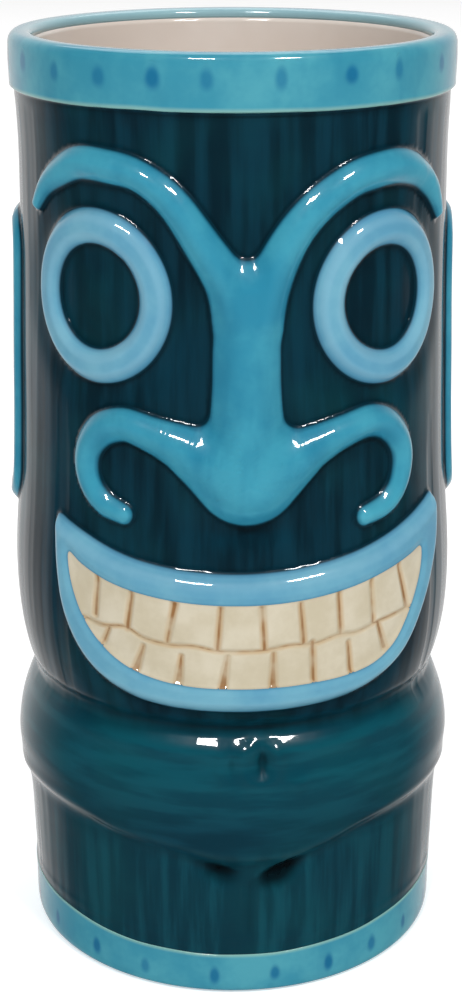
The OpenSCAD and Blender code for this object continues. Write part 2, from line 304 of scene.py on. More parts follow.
# From the belly up to the start of the lip: how far the line lies inside BELLY_R, and its height.
HIGH_WALL = [(0.3, 33.6), (0.0, 37.2), (0.4, 41.2), (1.15, 44.4), (2.25, 47.3), (3.15, 49.3), (3.55, 50.3),
             (3.4, 51.2), (2.95, 52.6), (2.15, 55.6), (1.45, 59.0), (1.0, 62.6), (0.75, 67.0), (0.75, 72.0),
             (1.05, 77.5), (1.6, 84.0), (2.1, 91.0), (2.5, 100.0), (2.8, 110.0), (3.2, 122.0), (3.5, 136.0),
             (3.6, 146.0), (3.45, 152.0), (3.3, 155.0)]
WALL_CURVE = smooth_curve([(height, BASE_R + out) for out, height in LOW_WALL]
                          + [(height, BELLY_R - inset) for inset, height in HIGH_WALL])
DETAIL_FADE = (8.6, 10.0)   # heights between which the body's detail sets in, above the base band
LIP_START = HEIGHT - 1.7
LIP_ROUND = 1.6             # how far the lip's outer rounding reaches in
LIP_IN_R = WALL_IN_R - 0.3
CREAM_TOP = HEIGHT - 1.6

# How much lower the belly's edge lies at each angle.
BELLY_EDGE = [(-180.0, 0.0), (-95.0, 0.0), (-68.0, -1.8), (-47.0, -1.7), (-35.0, -0.6), (-25.0, 0.1),
              (-15.0, 1.3), (-6.0, 2.5), (4.0, 2.9), (13.0, 2.3), (21.0, 0.9), (31.0, -1.1),
              (44.0, -1.9), (68.0, -1.8), (95.0, 0.0), (180.0, 0.0)]
BELLY_CURVE = smooth_curve(BELLY_EDGE)
NECK_Z = 52.2
LEG_SLOT_ANGLE = 1.0
NAVEL = (3.7, 46.2)


def wall_radius(z):
    """Radius of the turned wall, which steps out under the rim band."""
    rim = RIM_R + 0.12 * bump(z - (HEIGHT - 4.5), 3.0)
    rise = smooth_step(z, RIM_EDGE - 0.45, RIM_EDGE + 0.35)
    wall = on_curve(z, WALL_CURVE)
    return wall + (rim - wall) * rise


def body_detail(theta, z):
    """What the cast body carries besides its turned outline, in millimetres."""
    s = theta * ARC_R
    deg = np.degrees(theta)
    front = bump(deg, 62.0)
    # At the front the neck is pressed in harder, and the belly rises under it like a shelf.
    out = -1.05 * bump(z - NECK_Z, 1.4) * front
    out += 0.85 * bump(z - 48.3, 2.0) * front
    # The belly's lower edge stands over the legs.
    low_edge = z + belly_warp(theta, z)
    out += front * (0.3 * bump(low_edge - 33.6, 2.0) - 0.65 * bump(low_edge - 28.6, 2.2))
    # Eye sockets, the pupils' shallow bowls and the hollow under the nose.
    for side in EYES:
        rho = eye_distance(theta, z, side)[1]
        out -= 0.4 * bump(rho - EYE_OUT_R - 1.2, 3.2)
        out -= 0.35 * smooth_step(-(rho - EYE_IN_R), -0.8, 1.8)
        out += 0.3 * bump(rho, 5.0)
    out -= 0.55 * bump(s, 8.0) * bump(z - 88.6, 2.4)
    out += navel_relief(s, z) + leg_relief(s, z)
    # Wood grain: long upright flutes, and softer level ones across the belly.
    upright = noise(around(theta, 64), z / 75.0 + 7, 0) + 0.4 * noise(around(theta, 150), z / 34.0, 1)
    groove = -np.maximum(noise(around(theta, 48), z / 80.0 + 3, 2) - 0.42, 0.0)
    level = noise(around(theta, 22) + 5, z / 3.4, 3)
    on_belly = smooth_step(z, 29.0, 33.0) * (1 - smooth_step(z, 47.0, 50.0))
    calm = 1 - 0.7 * bump(deg, 50.0) * smooth_step(z, 54.0, 60.0)
    out += (1 - on_belly) * calm * (0.055 * upright + 0.5 * groove)
    out += on_belly * 0.035 * level
    # The casting's own slow unevenness, and a faint ridge above the base band.
    out += 0.1 * noise(around(theta, 9), z / 28.0, 4)
    out += 0.1 * bump(z - 11.4, 0.8)
    return out


def navel_relief(s, z):
    """A narrow dimple between two folds, in a broad shallow hollow with an uneven raised edge."""
    right = s - along(NAVEL[0])
    up = z - NAVEL[1]
    out = -0.4 * bump(right, 4.4) * bump(up + 0.5, 4.6)
    ring = np.hypot(right * 1.05, up * 0.9)
    turn = np.arctan2(up, right)
    out += (0.4 + 0.15 * np.sin(3 * turn + 0.6)) * bump(ring - 3.3, 1.15)
    out -= bump(right - 0.35, 1.1) * bump(up - 0.2, 2.4)
    out -= 0.35 * bump(right + 5.2, 1.3) * bump(up - 0.6, 3.4)
    out += 0.3 * bump(right + 6.6, 1.2) * bump(up + 1.0, 3.2)
    out += 0.45 * bump(right - 6.2, 1.6) * bump(up + 4.0, 1.5)
    return out


def leg_corners(s, z):
    """Where glaze pools and shade is painted in the two corners between belly and thighs: 1 in the deeper,
    right one.
    """
    slot = s - along(LEG_SLOT_ANGLE)
    out = 0.0
    for corner, height, slope, share in ((-5.2, 25.5, 0.28, 0.7), (5.2, 24.9, 0.42, 1.0)):
        below = height + slope * (slot - corner) * np.sign(corner) - z
        out = out + share * bump(slot - corner, 3.8) * bump(below, np.where(below > 0, 2.9, 1.2))
    return out


def leg_relief(s, z):
    """The slot between the thighs, their soft bulges, and the deep corners where they meet the belly."""
    slot = s - along(LEG_SLOT_ANGLE)
    upright = smooth_step(z, 9.6, 15.0) * (1 - smooth_step(z, 21.5, 25.5))
    out = -0.4 * bump(slot, 0.8) * upright
    for side in SIDES.values():
        out += 0.45 * bump(slot - side * 8.5, 6.5) * bump(z - 17.5, 6.0)
    return out - 1.4 * leg_corners(s, z)


def belly_warp(theta, z):
    """Lowers the belly's lower edge towards the front, where it sags between the legs."""
    drop = on_curve(np.degrees(theta), BELLY_CURVE)
    return drop * smooth_step(z, 12.0, 22.0) * (1 - smooth_step(z, 33.0, 46.0))


def rim_edge(theta):
    """Height of the rim band's painted lower edge."""
    ripple = 0.28 * noise(around(theta, 14), theta * 0 + 2.5, 5)
    return RIM_EDGE + ripple + 0.1 * noise(around(theta, 40), theta * 0 + 8.5, 5)


def base_edge(theta):
    """Height of the base band's painted edge, which climbs a little towards the sides of the mug."""
    climb = 1.5 * smooth_step(np.abs(np.degrees(theta)), 18.0, 72.0)
    ripple = 0.35 * noise(around(theta, 12), theta * 0 + 4.5, 6)
    return BASE_EDGE + climb + ripple + 0.12 * noise(around(theta, 34), theta * 0 + 9.5, 6)


FOOT = 0.45                 # how far the relief's soft foot reaches out beyond its outline
NOSE_REACH = (74, 82, 157)  # the nose, brows and scrolls lie within this angle and these heights


def relief_height(distance, half, relief):
    """A rounded ridge: it starts at its soft foot, and has full relief half a width inside its outline."""
    t = np.clip((FOOT - distance) / (half + FOOT), 0.0, 1.0)
    return relief * np.sin(math.pi / 2 * t ** 0.9) ** 1.12


def plateau_height(distance, edge, relief, foot=FOOT):
    """A flat-topped relief with rounded edges."""
    t = np.clip((foot - distance) / (edge + foot), 0.0, 1.0)
    return relief * np.sin(math.pi / 2 * t) ** 1.15


def nose_group(theta, z):
    """Distance to the joined outline of brows, nose and nostrils, and their height on the body."""
    joined = np.full(theta.shape, FAR)
    height = np.zeros(theta.shape)
    widest, low, high = NOSE_REACH
    near = (np.abs(np.degrees(theta)) < widest) & (z > low) & (z < high)
    if near.any():
        s, h = theta[near] * ARC_R, z[near]
        total, half, relief = np.zeros((3,) + s.shape)
        distance = np.full(s.shape, FAR)
        for stroke in (BROW_LEFT, BROW_RIGHT, BRIDGE, SCROLL_LEFT, SCROLL_RIGHT):
            away, width, proud = stroke_distance(s, h, stroke)
            pull = np.exp(-np.clip(away + 3.0, -6.0, 40.0) / 0.8)
            total += pull
            half += pull * width
            relief += pull * proud
            distance = smooth_min(distance, away, 2.6)
        total = np.maximum(total, 1e-12)
        joined[near] = distance
        height[near] = relief_height(distance, np.maximum(half / total, 1.0), relief / total)
    return joined, height


def mouth_height(theta, z, outer, inner, line):
    """Height of lips and teeth on the body, from the distances to both lip outlines and the tooth lines."""
    lips = plateau_height(outer, 2.4, LIP_RELIEF)
    lips -= (LIP_RELIEF - TOOTH_RELIEF) * plateau_height(inner, 1.6, 1.0, 1.3)
    seam = smooth_step(line, -0.25, 0.65)
    in_row = np.clip((z - on_curve(theta * ARC_R, BITE_CURVE)) / 0.9, -1, 1)
    inlay = smooth_step(-inner, -0.2, 0.7)
    return lips + inlay * (0.1 * in_row - 0.36 * (1 - seam))


def outer_surface(theta, z):
    """Radius of the outside at each angle and height, and the distances that tell the pieces apart."""
    shown = smooth_step(z - base_edge(theta) + BASE_EDGE, *DETAIL_FADE)
    shown = shown * (1 - smooth_step(z, RIM_EDGE - 3.0, RIM_EDGE - 1.0))
    base = wall_radius(z + belly_warp(theta, z)) + body_detail(theta, z) * shown
    d = {"base": base}
    d["nose"], height = nose_group(theta, z)
    d["face_of_lips"] = near_outline(theta, z, LIPS_OUTER)
    d["mouth"] = near_outline(theta, z, MOUTH)
    d["lips"] = np.maximum(d["face_of_lips"], -d["mouth"])
    d["line"] = within(theta, z, (-52, 54), (58, 84), line_distance)
    height = np.maximum(height, mouth_height(theta, z, d["face_of_lips"], d["mouth"], d["line"]))
    for side in SIDES:
        d["eye_" + side] = eye_distance(theta, z, side)[0]
        height = np.maximum(height, plateau_height(d["eye_" + side], 1.9, EYE_RELIEF))
        ear_out, ear_in = ear_distances(theta, z, side)
        d["ear_" + side] = np.maximum(ear_out, -ear_in)
        height = np.maximum(height, plateau_height(d["ear_" + side], 1.7, EAR_RELIEF))
        height = np.where(ear_in < 0, height - 0.25 * smooth_step(-ear_in, 0.0, 1.5), height)
    return base + height, d


def outer_radius(theta, z):
    return outer_surface(theta, z)[0]


def place(theta, z, radius):
    return np.stack([radius * np.sin(theta), -radius * np.cos(theta), z], -1)


def neighbours(theta, z, reach):
    """The places a little to the right and left of each point, and above and below it."""
    turn = reach / ARC_R
    return (theta + turn, z), (theta - turn, z), (theta, z + reach), (theta, z - reach)


def surface_normals(theta, z, radius_at=outer_radius, reach=0.12):
    """Outward normals of a surface, from its places a little to each side."""
    right, left, above, below = (place(t, h, radius_at(t, h)) for t, h in neighbours(theta, z, reach))
    n = np.cross(right - left, above - below)
    return n / np.linalg.norm(n, axis=-1, keepdims=True)


def hollowness(theta, z, reach=1.3):
    """How far the surface lies below its surroundings, in millimetres: positive in a crease."""
    return sum(outer_radius(t, h) for t, h in neighbours(theta, z, reach)) / 4 - outer_radius(theta, z)


# ---------------------------------------------------------------- meshes

def make_object(name, verts, faces):
    """A smooth mesh object from points in millimetres."""
    mesh = bpy.data.meshes.new(name)
    mesh.from_pydata((np.asarray(verts) * MM).tolist(), [], [tuple(map(int, face)) for face in faces])
    mesh.validate()
    mesh.update()
    mesh.polygons.foreach_set("use_smooth", [True] * len(mesh.polygons))
    obj = bpy.data.objects.new(name, mesh)
    bpy.context.scene.collection.objects.link(obj)
    return obj


def set_values(obj, name, values):
    """Stores one number for each point of a mesh, for its material to read."""
    layer = obj.data.attributes.new(name, "FLOAT", "POINT")
    layer.data.foreach_set("value", np.asarray(values, np.float32))


def set_normals(obj, normals, known):
    """Gives the points in known the normals of the true surface, on the faces made only of such points."""
    mesh = obj.data
    corner_points = np.zeros(len(mesh.loops), int)
    mesh.loops.foreach_get("vertex_index", corner_points)
    starts = np.zeros(len(mesh.polygons), int)
    totals = np.zeros(len(mesh.polygons), int)
    mesh.polygons.foreach_get("loop_start", starts)
    mesh.polygons.foreach_get("loop_total", totals)
    known_corner = known[corner_points]
    all_known = np.add.reduceat(known_corner.astype(int), starts) == totals
    use = np.repeat(all_known, totals)
    chosen = np.zeros((len(mesh.loops), 3))
    chosen[use] = normals[corner_points[use]]
    mesh.normals_split_custom_set([tuple(n) for n in chosen])


def clip_grid(q):
    """Cuts a grid of values along its zero line. Returns the kept nodes and crossings, and faces over them.

    Each point is (row, column) as fractions, so that the caller can place it on the surface.
    """
    rows, cols = q.shape
    q = np.where(np.abs(q) < 0.012, -0.012, q)
    inside = q < 0
    number = -np.ones(q.shape, int)
    number[inside] = np.arange(inside.sum())
    points = [tuple(p) for p in np.argwhere(inside).astype(float)]
    crossings = {}

    def crossing(a, b):
        key = (a, b) if a < b else (b, a)
        if key not in crossings:
            (r0, c0), (r1, c1) = key
            t = q[key[0]] / (q[key[0]] - q[key[1]])
            crossings[key] = len(points)
            points.append((r0 + t * (r1 - r0), c0 + t * (c1 - c0)))
        return crossings[key]

    corners_in = inside[:-1, :-1].astype(int) + inside[:-1, 1:] + inside[1:, 1:] + inside[1:, :-1]
    faces = []
    for r, c in np.argwhere(corners_in == 4):
        faces.append((number[r, c], number[r, c + 1], number[r + 1, c + 1], number[r + 1, c]))
    for r, c in np.argwhere((corners_in > 0) & (corners_in < 4)):
        ring = [(r, c), (r, c + 1), (r + 1, c + 1), (r + 1, c)]
        face = []
        for a, b in zip(ring, ring[1:] + ring[:1]):
            if inside[a]:
                face.append(number[a])
            if inside[a] != inside[b]:
                face.append(crossing(a, b))
        if len(face) > 2:
            faces.append(tuple(face))
    return np.array(points), faces


def make_skin(name, top, under, faces, normals, values):
    """A closed piece: a top with the given normals, the same faces below it, and a wall between their edges.

    values are the numbers that its material reads, for each point of the top.
    """
    count = len(top)
    edges = dict.fromkeys((a, b) for face in faces for a, b in zip(face, face[1:] + face[:1]))
    walls = [(b, a, a + count, b + count) for a, b in edges if (b, a) not in edges]
    flipped = [tuple(i + count for i in reversed(face)) for face in faces]
    obj = make_object(name, np.concatenate([top, under]), faces + flipped + walls)
    set_normals(obj, np.concatenate([normals, normals * 0]), np.arange(2 * count) < count)
    for key, made in values.items():
        set_values(obj, key, np.tile(made, 2))
    return obj


RELIEF_DEPTH = 0.9          # how far a relief piece reaches into the body
FOOT_LIFT = 0.015           # how far it stands off the shared surface at its foot
RELIEF_LIFT = 0.05          # how much further it stands off inside its outline


def relief_piece(name, degrees, heights, inside, rim, step):
    """The outer surface where inside(theta, z, distances) is negative, thickened inwards.

    rim names the distance to the edge that shows, which leaves out the joints between pieces of one colour.
    """
    cols = int(along(degrees[1] - degrees[0]) / step)
    rows = int((heights[1] - heights[0]) / step)
    thetas = np.radians(np.linspace(degrees[0], degrees[1], cols))
    levels = np.linspace(heights[0], heights[1], rows)
    grid = np.meshgrid(thetas, levels)
    points, faces = clip_grid(inside(*grid, outer_surface(*grid)[1]))
    theta = np.interp(points[:, 1], np.arange(cols), thetas)
    z = np.interp(points[:, 0], np.arange(rows), levels)
    radius, d = outer_surface(theta, z)
    lift = FOOT_LIFT + RELIEF_LIFT * smooth_step(FOOT - d[rim], 0.0, 0.4)
    values = {"edge": -d[rim], "hollow": hollowness(theta, z), "line": d["line"]}
    return make_skin(name, place(theta, z, radius + lift), place(theta, z, radius - RELIEF_DEPTH), faces,
                     surface_normals(theta, z), values)


def ring_pairs(columns):
    """Each column of a ring and the next one around."""
    return [(k, (k + 1) % columns) for k in range(columns)]


def band_faces(columns, low, high):
    """The faces between two rings of points, given as their numbers from the first ring on."""
    low, high = low * columns, high * columns
    return [(low + k, low + n, high + n, high + k) for k, n in ring_pairs(columns)]


def revolve(name, loop, columns=420):
    """A closed ring from a loop of (radius, height), each a number or a function of the angle."""
    thetas = np.linspace(-math.pi, math.pi, columns, endpoint=False)

    def at_angles(value):
        return np.broadcast_to(value(thetas) if callable(value) else value, thetas.shape)

    verts = np.concatenate([place(thetas, at_angles(height), at_angles(radius)) for radius, height in loop])
    faces = []
    for i in range(len(loop)):
        faces += band_faces(columns, i, (i + 1) % len(loop))
    return make_object(name, verts, faces), np.tile(thetas, len(loop)), verts


def make_shell(name, rings, low, high):
    """A closed shell of rings of points, each end filled in around a point on the axis at low or high."""
    columns = len(rings[0])
    last = (len(rings) - 1) * columns
    verts = np.concatenate(rings + [np.array([[0, 0, low], [0, 0, high]])])
    faces = []
    for i in range(len(rings) - 1):
        faces += band_faces(columns, i, i + 1)
    for k, n in ring_pairs(columns):
        faces.append((len(verts) - 2, n, k))
        faces.append((len(verts) - 1, last + k, last + n))
    return make_object(name, verts, faces)


def turned_rings(thetas, profile):
    """Rings of points around the axis, one for each (radius, height) of the profile."""
    return [place(thetas, np.full(len(thetas), height), radius) for radius, height in profile]


def arc(centre_r, centre_z, size_r, size_z, start, end, steps):
    """Points (radius, height) along part of an ellipse, with angles in degrees from the outward direction."""
    angles = np.radians(np.linspace(start, end, steps))
    return [(centre_r + size_r * math.cos(a), centre_z + size_z * math.sin(a)) for a in angles]


# ---------------------------------------------------------------- pieces

def covered(theta, z, d):
    """Distance to the nearest edge of anything that lies on the body, feet included, negative under it."""
    parts = [d["nose"] - FOOT, d["face_of_lips"] - FOOT]
    parts += [d[kind + side] - FOOT for kind in ("eye_", "ear_") for side in SIDES]
    parts += [z - base_edge(theta), rim_edge(theta) - z]
    return np.minimum.reduce(parts)


def snap_to_edges(theta, z, wide, tall, reach=0.05):
    """Moves the points of a grid that are next to an edge of what covers the body onto that edge."""
    def edge(t, h):
        return covered(t, h, outer_surface(t, h)[1])

    d = edge(theta, z)
    right, left, above, below = (edge(t, h) for t, h in neighbours(theta, z, reach))
    ds = (right - left) / (2 * reach)
    dz = (above - below) / (2 * reach)
    size = np.maximum(np.hypot(ds, dz), 0.5)
    limit = 0.47 * (np.abs(ds) * wide + np.abs(dz) * tall) / size
    move = np.where(np.abs(d) < np.minimum(limit, 0.5), -d / size ** 2, 0.0)
    return theta + move * ds / ARC_R, z + move * dz


FINE_ANGLE = 106.0          # the body's columns are close together up to here from the middle of the face
ROW_STEP = 0.68
FIXED_LOW, FIXED_HIGH = 12, 7       # rows at the bottom and the top that aren't moved onto edges
UNDER_LIP = 6               # the top rows, which run inside the rim band


def body_grid():
    """Angles of the body's columns, and the angle and height of every point of its outside."""
    fine = np.radians(np.arange(-FINE_ANGLE, FINE_ANGLE, 0.76))
    back = np.radians(np.linspace(FINE_ANGLE, 360 - FINE_ANGLE, 92, endpoint=False))
    columns = np.concatenate([fine, back])
    levels = np.concatenate([np.linspace(0.9, 8.0, 9), np.arange(8.6, RIM_EDGE + 1.2, ROW_STEP),
                             np.linspace(RIM_EDGE + 2.2, LIP_START, 5)])
    theta, z = np.meshgrid((columns + math.pi) % (2 * math.pi) - math.pi, levels)
    rows = slice(FIXED_LOW, -FIXED_HIGH)
    wide = np.gradient(columns) * ARC_R
    theta[rows], z[rows] = snap_to_edges(theta[rows], z[rows], wide, ROW_STEP)
    return columns, theta, z


def body_radius(theta, z):
    """Radius of the cast body's outside, which dips under everything that lies on it."""
    radius, d = outer_surface(theta, z)
    deep = -covered(theta, z, d)
    radius = radius - (radius - d["base"]) * smooth_step(deep, 0.05, 0.5)
    radius -= 0.12 * smooth_step(deep, 0.02, 0.4) + 0.4 * smooth_step(deep, 0.1, 1.4)
    radius[-UNDER_LIP:] = wall_radius(z[-UNDER_LIP:]) - 0.7
    return radius


def make_body():
    """The cast body as one closed wall: underside, outside, lip, inside and floor."""
    columns, theta, z = body_grid()
    corner = (WALL_IN_R - LINER_FILLET, FLOOR_Z + LINER_FILLET, LINER_FILLET, LINER_FILLET)
    underside = [(12.0, 0.0), (26.0, 0.0), (BASE_R - 3.0, 0.0), (BASE_R - 1.8, 0.12)]
    inside = [(RIM_R - 1.6, HEIGHT - 1.6), (WALL_IN_R + 1.3, HEIGHT - 1.7)]
    inside += [(WALL_IN_R, h) for h in np.linspace(HEIGHT - 2.6, FLOOR_Z + LINER_FILLET, 9)]
    inside += arc(*corner, -15, -90, 6) + [(14.0, FLOOR_Z)]
    outside = list(place(theta, z, body_radius(theta, z)))
    rings = turned_rings(columns, underside) + outside + turned_rings(columns, inside)
    obj = make_shell("cast_body", rings, 0.0, FLOOR_Z)
    first = len(underside) * len(columns)

    def over_outside(values):
        """Values for every point of the mesh: those given on the outside, and 0 elsewhere."""
        every = np.zeros((len(obj.data.vertices),) + values.shape[1:])
        every[first:first + theta.size] = values
        return every

    theta, z = theta.ravel(), z.ravel()
    set_normals(obj, over_outside(surface_normals(theta, z)), over_outside(np.ones(theta.size)) > 0)
    set_values(obj, "hollow", over_outside(hollowness(theta, z)))
    # Pooled glaze and painted shade in the leg corners, for the body's colour.
    set_values(obj, "pooled_glaze_and_shade", over_outside(leg_corners(theta * ARC_R, z)))
    return obj


def edge_ring(edge, up, out):
    """A ring on the wall, some way up from a painted edge and some way out."""
    return (lambda t: wall_radius(edge(t) + up) + out, lambda t: edge(t) + up)


def make_rim_band():
    """The turquoise band, from its hand-painted lower edge over the lip to the inside."""
    loop = [edge_ring(rim_edge, 0.0, 0.02), edge_ring(rim_edge, 0.3, 0.04)]
    loop += [(wall_radius(h), h) for h in np.linspace(RIM_EDGE + 0.8, LIP_START, 12)]
    loop += arc(RIM_R - LIP_ROUND, LIP_START, LIP_ROUND, HEIGHT - LIP_START, 12, 88, 9)
    loop += arc(LIP_IN_R + 1.2, HEIGHT - 1.3, 1.2, 1.25, 92, 180, 8)
    loop += [(LIP_IN_R, lambda t: CREAM_TOP - 0.1 + 0.4 * (rim_edge(t) - RIM_EDGE)),
             (WALL_IN_R + 0.2, CREAM_TOP - 0.4), (WALL_IN_R + 1.1, HEIGHT - 2.0), (RIM_R - 1.3, HEIGHT - 1.8),
             (RIM_R - 1.1, LIP_START - 0.4), (RIM_R - 1.1, RIM_EDGE + 1.5),
             (lambda t: wall_radius(rim_edge(t)) - 0.7, lambda t: rim_edge(t) + 0.05)]
    obj, theta, verts = revolve("rim_glaze_band", loop)
    set_values(obj, "edge", verts[:, 2] - rim_edge(theta))
    set_values(obj, "lip", np.hypot(verts[:, 0], verts[:, 1]) - WALL_IN_R)
    return obj


def make_base_band():
    """The turquoise band around the base, from the foot to its hand-painted upper edge."""
    loop = [(BASE_R - 1.9, 0.06), (BASE_R - 1.1, 0.14)]
    loop += [(wall_radius(h), h) for h in (0.45, 0.8, 1.3, 2.0, 3.0, 4.4, 5.8, 7.2)]
    loop += [edge_ring(base_edge, -0.3, 0.03), edge_ring(base_edge, 0.0, 0.02), (BASE_R - 0.6, 7.6),
             (BASE_R - 0.7, 2.0), (BASE_R - 1.9, 0.9)]
    obj, theta, verts = revolve("base_glaze_band", loop)
    set_values(obj, "edge", base_edge(theta) - verts[:, 2])
    return obj


def make_interior():
    """The cream glaze inside: a thin skin over the floor, round the corner and up the wall."""
    r = WALL_IN_R - LINER
    top = CREAM_TOP - 0.1
    corner_r = WALL_IN_R - LINER_FILLET
    corner_z = FLOOR_Z + LINER_FILLET
    small = LINER_FILLET - LINER
    skin = [(1.0, FLOOR_Z), (corner_r, FLOOR_Z)]
    skin += arc(corner_r, corner_z, LINER_FILLET, LINER_FILLET, -78, -12, 6)
    skin += [(WALL_IN_R, top), (r + 0.1, top), (r, top - 0.8)]
    skin += [(r, h) for h in np.linspace(top - 6, corner_z, 10)]
    skin += arc(corner_r, corner_z, small, small, -12, -90, 8)
    skin += [(20.0, FLOOR_Z + LINER), (1.0, FLOOR_Z + LINER)]
    thetas = np.linspace(-math.pi, math.pi, 240, endpoint=False)
    return make_shell("interior_glaze_skin", turned_rings(thetas, skin), FLOOR_Z, FLOOR_Z + LINER)


# Angles of the dabs at the front, listed one by one. The others are spaced evenly over the back.
RIM_SPOTS = [-66.4, -51.1, -36.6, -22.3, -9.4, 7.8, 25.4, 39.8, 59.1]
BASE_SPOTS = [-62.4, -44.0, -27.8, -8.3, 8.0, 23.5, 38.3, 53.0]
SPOTS_BEHIND = 14
DAB_RINGS = 9
DAB_COLUMNS = 40
DAB_DEPTH = 0.25


def make_spots(name, front, height, wide, tall, seed):
    """Dabs of darker glaze around a band, each with its own size, strength and small shift."""
    rng = np.random.default_rng(seed)
    gap = (360.0 - front[-1] + front[0]) / (SPOTS_BEHIND + 1)
    parts = []
    for deg in front + [front[-1] + gap * (k + 1) for k in range(SPOTS_BEHIND)]:
        up = height + rng.uniform(-0.35, 0.35)
        half_wide = wide * rng.uniform(0.8, 1.15)
        half_tall = tall * rng.uniform(0.85, 1.15)
        parts.append(spot_piece(name, deg, up, half_wide, half_tall, rng.uniform(0.6, 1.0)))
    bpy.ops.object.select_all(action="DESELECT")
    for part in parts:
        part.select_set(True)
    bpy.context.view_layer.objects.active = parts[0]
    bpy.ops.object.join()
    parts[0].name = name
    return parts[0]


def spot_piece(name, deg, up, wide, tall, strength):
    """One dab: a thin skin that stands hardly proud of the band, meshed as rings around its middle."""
    shares = np.arange(1, DAB_RINGS + 1) / DAB_RINGS
    turns = np.arange(DAB_COLUMNS) * 2 * math.pi / DAB_COLUMNS
    share, turn = (grid.ravel() for grid in np.meshgrid(shares, turns, indexing="ij"))
    across = np.append(0.0, share * wide * np.cos(turn) * (1 - 0.15 * share * np.sin(turn)))
    z = up + np.append(0.0, share * tall * np.sin(turn))
    fade = np.append(1.0, 1 - share)
    theta = math.radians((deg + 180) % 360 - 180) + across / ARC_R
    lift = 0.004 + 0.02 * smooth_step(fade, 0.0, 0.5)
    faces = [(0, 1 + k, 1 + n) for k, n in ring_pairs(DAB_COLUMNS)]
    for i in range(1, 1 + (DAB_RINGS - 1) * DAB_COLUMNS, DAB_COLUMNS):
        for k, n in ring_pairs(DAB_COLUMNS):
            faces.append((i + k, i + k + DAB_COLUMNS, i + n + DAB_COLUMNS, i + n))
    normals = surface_normals(theta, z, lambda t, h: wall_radius(h), 0.05)
    radius = wall_radius(z)
    return make_skin(name, place(theta, z, radius + lift), place(theta, z, radius - DAB_DEPTH), faces,
                     normals, {"fade": fade, "strength": np.full(len(z), strength)})


BROW_JOINT = 130.5          # height where the brows end and the nose begins
SCROLL_JOINT = 9.0          # how far from the middle the nose ends and its scrolls begin
SCROLL_TOP = 112.0


def overlap(*regions):
    """The part that lies inside all of the given regions."""
    return np.maximum.reduce(regions)


def brow_part(side):
    return lambda t, z, d: overlap(d["nose"] - FOOT, BROW_JOINT - z, -t * SIDES[side] * ARC_R)


def nose_part(t, z, d):
    beside = np.where(z > SCROLL_TOP, -FAR, np.abs(t * ARC_R) - SCROLL_JOINT)
    return overlap(d["nose"] - FOOT, z - BROW_JOINT, beside)


def scroll_part(side):
    return lambda t, z, d: overlap(d["nose"] - FOOT, z - SCROLL_TOP,
                                   SCROLL_JOINT - t * SIDES[side] * ARC_R)


def ridge(name):
    return lambda t, z, d: d[name] - FOOT


def lip_part(t, z, d):
    return overlap(d["face_of_lips"] - FOOT, -d["mouth"])


def tooth_row(sign):
    """The teeth above the bite for a sign of 1, and below it for -1."""
    def inside(t, z, d):
        beyond = (on_curve(t * ARC_R, BITE_CURVE) - z) * sign
        return overlap(d["mouth"], beyond, -d["line"])
    return inside


def tooth_line_part(t, z, d):
    return overlap(d["mouth"], d["line"])


RELIEF_STEP = 0.34
TOOTH_STEP = 0.26
BROW_HEIGHTS = (BROW_JOINT - 1, 153)
SCROLL_HEIGHTS = (86, SCROLL_TOP + 1)
EYE_HEIGHTS = (110, 142)
EAR_HEIGHTS = (80, 139)
MOUTH_WINDOW = ((-52, 54), (60, 83))

# Each relief piece: its CAD node, a window of angles and heights around it, its region of the surface, and
# which distance tells its visible edge.
RELIEF = {
    "brow_ridge_left": ("brow_left", (-70, 1), BROW_HEIGHTS, brow_part("left"), "nose"),
    "brow_ridge_right": ("brow_right", (-1, 70), BROW_HEIGHTS, brow_part("right"), "nose"),
    "nose_ridge": ("nose", (-16, 16), (86, BROW_JOINT + 1), nose_part, "nose"),
    "nostril_scroll_left": ("nostril_left", (-48, -12), SCROLL_HEIGHTS, scroll_part("left"), "nose"),
    "nostril_scroll_right": ("nostril_right", (12, 50), SCROLL_HEIGHTS, scroll_part("right"), "nose"),
    "eye_ring_relief_left": ("eye_ring_left", (-63, -16), EYE_HEIGHTS, ridge("eye_left"), "eye_left"),
    "eye_ring_relief_right": ("eye_ring_right", (15, 62), EYE_HEIGHTS, ridge("eye_right"), "eye_right"),
    "lip_relief": ("lips", (-57, 62), (54, 90), lip_part, "lips"),
    "upper_tooth_row": ("upper_teeth", *MOUTH_WINDOW, tooth_row(1), "mouth"),
    "lower_tooth_row": ("lower_teeth", *MOUTH_WINDOW, tooth_row(-1), "mouth"),
    # The painted lines between the teeth, and a brown line of painted shade along the bite.
    "tooth_stain_and_bite_shade": ("tooth_lines", *MOUTH_WINDOW, tooth_line_part, "mouth"),
    "ear_loop_left": ("ear_left", (-106, -74), EAR_HEIGHTS, ridge("ear_left"), "ear_left"),
    "ear_loop_right": ("ear_right", (74, 106), EAR_HEIGHTS, ridge("ear_right"), "ear_right"),
}


def make_pieces():
    """Every piece by name, with the CAD node that it replaces."""
    pieces = {
        "cast_body": (make_body(), "body_shell"),
        "interior_glaze_skin": (make_interior(), "interior_glaze"),
        "rim_glaze_band": (make_rim_band(), "rim_band"),
        "base_glaze_band": (make_base_band(), "base_band"),
        "rim_glaze_dabs": (make_spots("rim_glaze_dabs", RIM_SPOTS, HEIGHT - 3.8, 1.6, 2.3, 5), "rim_spots"),
        "base_glaze_dabs": (make_spots("base_glaze_dabs", BASE_SPOTS, 4.2, 1.25, 2.2, 9), "base_spots"),
    }
    for name, (node, *area) in RELIEF.items():
        step = TOOTH_STEP if "tooth" in name else RELIEF_STEP
        pieces[name] = (relief_piece(name, *area, step), node)
    return pieces


# ---------------------------------------------------------------- materials

def set_inputs(node, numbers):
    """Sets the values of a shader node's sockets."""
    for key, number in numbers.items():
        node.inputs[key].default_value = number


